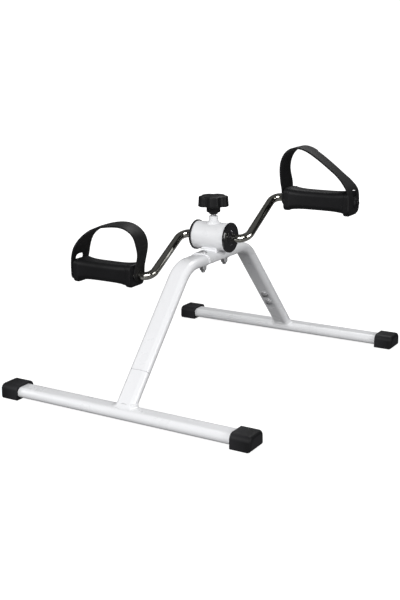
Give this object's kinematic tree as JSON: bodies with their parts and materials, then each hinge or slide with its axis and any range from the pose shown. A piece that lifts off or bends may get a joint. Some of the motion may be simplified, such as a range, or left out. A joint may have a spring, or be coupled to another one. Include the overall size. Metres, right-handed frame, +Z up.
{
  "type": "pedal exerciser",
  "caption": "Low bent-tube stand that carries a cranked rod with a strapped pedal on each side and a star knob that sets the pedalling resistance.",
  "frame": {"origin": "on the floor, midway between the two base tubes and under the middle of the hub", "axes": "+X along the crank axis towards the right pedal, +Y from the front base tube to the rear one, +Z up"},
  "size_m": [0.4, 0.5142, 0.3342],
  "materials": {
    "white_frame": "glossy white powder coat",
    "chrome_rod": "polished chrome plating",
    "zinc_steel": "dull zinc plated steel",
    "black_cap": "matte black moulded plastic",
    "black_pedal": "satin black moulded plastic",
    "gloss_cap": "glossy black moulded plastic",
    "black_knob": "satin black moulded plastic",
    "strap_rubber": "flexible black moulded strap",
    "friction_pad": "dense brown friction block",
    "nylon_bush": "natural nylon"
  },
  "bodies": {
    "stand": {"front_base_tube": "white_frame", "front_leg_stub": "white_frame", "front_leg_insert": "white_frame", "front_left_end_cap": "black_cap", "front_right_end_cap": "black_cap", "rear_base_tube": "white_frame", "rear_leg_stub": "white_frame", "rear_leg_insert": "white_frame", "rear_left_end_cap": "black_cap", "rear_right_end_cap": "black_cap", "upper_frame": "white_frame", "hub_saddle": "white_frame", "hub_tube": "white_frame", "tension_boss": "white_frame", "leg_screws": "zinc_steel", "leg_washers": "zinc_steel", "leg_weld_nuts": "zinc_steel", "saddle_bolts": "zinc_steel", "saddle_nuts": "zinc_steel", "left_hub_cap": "gloss_cap", "right_hub_cap": "gloss_cap"},
    "crank": {"crank_rod": "chrome_rod", "brake_sleeve": "zinc_steel", "sleeve_pin": "zinc_steel", "left_axle_washer": "zinc_steel", "right_axle_washer": "zinc_steel", "left_axle_nut": "zinc_steel", "right_axle_nut": "zinc_steel"},
    "brake_block": {"brake_shoe": "friction_pad"},
    "tension_screw": {"tension_stud": "zinc_steel", "tension_knob": "black_knob"},
    "left_pedal": {"left_pedal_body": "black_pedal", "left_pedal_inner_plate": "black_pedal", "left_pedal_outer_plate": "black_pedal", "left_axle_bushes": "nylon_bush", "left_foot_strap": "strap_rubber"},
    "right_pedal": {"right_pedal_body": "black_pedal", "right_pedal_inner_plate": "black_pedal", "right_pedal_outer_plate": "black_pedal", "right_axle_bushes": "nylon_bush", "right_foot_strap": "strap_rubber"}
  },
  "joints": [
    {"name": "crank_spin", "type": "hinge", "parent": "stand", "child": "crank", "pos_m": [0, 0, 0.2066], "axis": [1, 0, 0], "continuous": true},
    {"name": "left_pedal_spin", "type": "hinge", "parent": "crank", "child": "left_pedal", "pos_m": [-0.13, -0.08638, 0.15622], "axis": [1, 0, 0], "continuous": true},
    {"name": "right_pedal_spin", "type": "hinge", "parent": "crank", "child": "right_pedal", "pos_m": [0.13, 0.08638, 0.25698], "axis": [1, 0, 0], "continuous": true},
    {"name": "shoe_slide", "type": "slide", "parent": "stand", "child": "brake_block", "axis": [0, 0, 1], "range_m": [-0.00125, 0.0025]},
    {"name": "knob_turn", "type": "hinge", "parent": "brake_block", "child": "tension_screw", "pos_m": [0, 0, 0.2484], "axis": [0, 0, 1], "range_deg": [-361, 721]}
  ],
  "couplings": [
    {"joint": "knob_turn", "follows": "shoe_slide", "rad_per_m": 5026.5}
  ]
}
